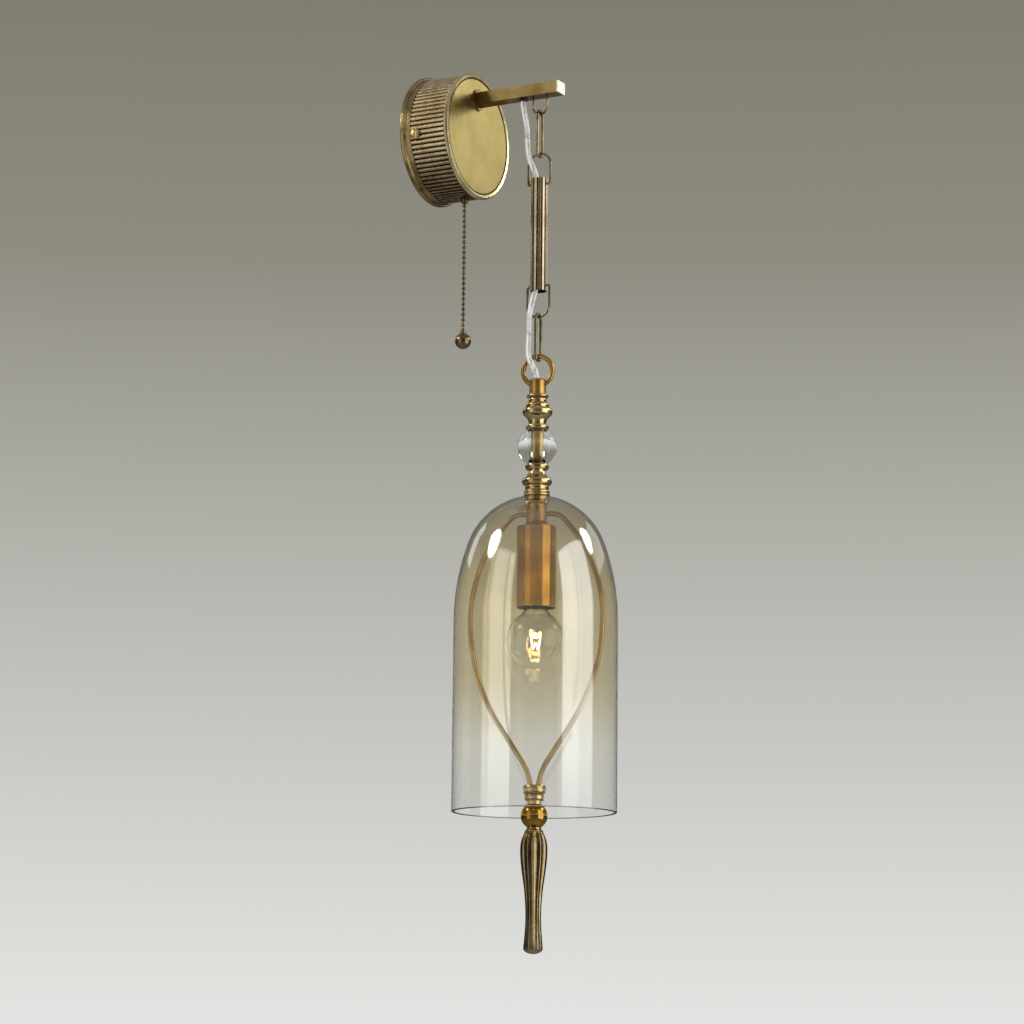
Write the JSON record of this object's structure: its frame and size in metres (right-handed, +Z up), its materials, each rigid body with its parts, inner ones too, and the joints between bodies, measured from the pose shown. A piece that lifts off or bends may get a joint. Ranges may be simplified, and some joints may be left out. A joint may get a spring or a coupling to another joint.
{
  "type": "pendant wall lantern",
  "caption": "Wall light in aged brass: ribbed round canopy, square arm, hanging links and tube, turned column with glass ball, smoked glass bell shade, finial and pull chain.",
  "frame": {"origin": "Centre of the canopy on the wall plane.", "axes": "+Z up, -Y out of the wall towards the room, +X to the right of someone who faces the wall."},
  "size_m": [0.1266, 0.1618, 0.7014],
  "materials": {
    "satin_brass": "satin, lacquered",
    "polished_brass": "polished",
    "antique_brass": "aged, dark in the hollows",
    "pale_brass": "polished, light",
    "plain_brass": "plain turned",
    "zinc_steel": "zinc plated",
    "smoked_glass": "smoked, darker at the top",
    "clear_glass": "clear, polished",
    "bulb_metal": "bright",
    "filament": "glowing",
    "black_plastic": "moulded",
    "white_plastic": "moulded",
    "seal_rubber": "soft",
    "clear_cord": "clear sheath over tinned and bare strands"
  },
  "bodies": {
    "canopy": {"mounting_bracket": "zinc_steel", "terminal_block": "white_plastic", "canopy_base_ring": "antique_brass", "canopy_drum": "antique_brass", "canopy_front_rim": "polished_brass", "canopy_face_plate": "satin_brass", "side_screw_left": "plain_brass", "side_screw_right": "plain_brass", "arm_flange": "antique_brass", "arm_bar": "antique_brass", "arm_end_cap": "polished_brass", "arm_nut": "plain_brass", "cord_bush": "black_plastic", "chain_hook": "antique_brass", "pull_switch_body": "black_plastic", "pull_switch_ferrule": "pale_brass", "pull_switch_nut": "plain_brass", "switch_spring": "zinc_steel", "cord_arm": "clear_cord", "cord_upper": "clear_cord"},
    "pull_plunger": {"pull_plunger": "plain_brass"},
    "chain_upper": {"pull_chain_upper": "pale_brass"},
    "chain_lower": {"pull_chain_lower": "pale_brass", "pull_ball": "pale_brass"},
    "upper_link": {"upper_link": "pale_brass"},
    "spacer": {"upper_bail": "pale_brass", "spacer_tube": "pale_brass", "lower_bail": "pale_brass", "cord_tube": "clear_cord", "cord_lower": "clear_cord"},
    "lower_link": {"lower_link": "pale_brass"},
    "lantern": {"finial_ball": "polished_brass", "hanging_loop": "polished_brass", "frame_hub": "polished_brass", "lampholder_cover": "polished_brass", "finial_drop": "antique_brass", "finial_collar": "antique_brass", "finial_ring": "antique_brass", "loop_collar": "pale_brass", "upper_turning": "pale_brass", "lower_turning": "pale_brass", "shade_cap_ring": "pale_brass", "frame_wire_left": "pale_brass", "frame_wire_right": "pale_brass", "threaded_stem": "plain_brass", "holder_nut": "plain_brass", "lampholder_shell": "plain_brass", "lampholder_contact": "plain_brass", "finial_stud": "plain_brass", "glass_shade": "smoked_glass", "crystal_ball": "clear_glass", "bulb_glass": "clear_glass", "bulb_stem": "clear_glass", "bulb_cap": "bulb_metal", "bulb_filament": "filament", "lampholder_body": "black_plastic", "upper_gasket": "seal_rubber", "lower_gasket": "seal_rubber", "cord_stem": "clear_cord"}
  },
  "joints": [
    {"name": "upper_link_swing", "type": "hinge", "parent": "canopy", "child": "upper_link", "pos_m": [0, -0.0985, 0.0105], "axis": [0, 1, 0], "range_deg": [-20, 20], "deforming": ["cord_upper"]},
    {"name": "spacer_swing", "type": "hinge", "parent": "upper_link", "child": "spacer", "pos_m": [0, -0.0985, -0.0243], "axis": [1, 0, 0], "range_deg": [-25, 2], "deforming": ["cord_upper"]},
    {"name": "lower_link_swing", "type": "hinge", "parent": "spacer", "child": "lower_link", "pos_m": [0, -0.0985, -0.15445], "axis": [0, 1, 0], "range_deg": [-20, 20], "deforming": ["cord_lower"]},
    {"name": "lantern_swing", "type": "hinge", "parent": "lower_link", "child": "lantern", "pos_m": [0, -0.0985, -0.1892], "axis": [1, 0, 0], "range_deg": [-25, 2.5], "deforming": ["cord_lower"]},
    {"name": "pull_slide", "type": "slide", "parent": "canopy", "child": "pull_plunger", "axis": [0, 0, -1], "range_m": [0, 0.005], "stiffness_N_per_m": 150, "deforming": ["switch_spring"]},
    {"name": "pull_swing_side", "type": "hinge", "parent": "pull_plunger", "child": "chain_upper", "pos_m": [0, -0.0305, -0.05425], "axis": [0, 1, 0], "range_deg": [-30, 30]},
    {"name": "pull_swing_front", "type": "hinge", "parent": "chain_upper", "child": "chain_lower", "pos_m": [0, -0.0305, -0.10474], "axis": [1, 0, 0], "range_deg": [-40, 20]}
  ]
}
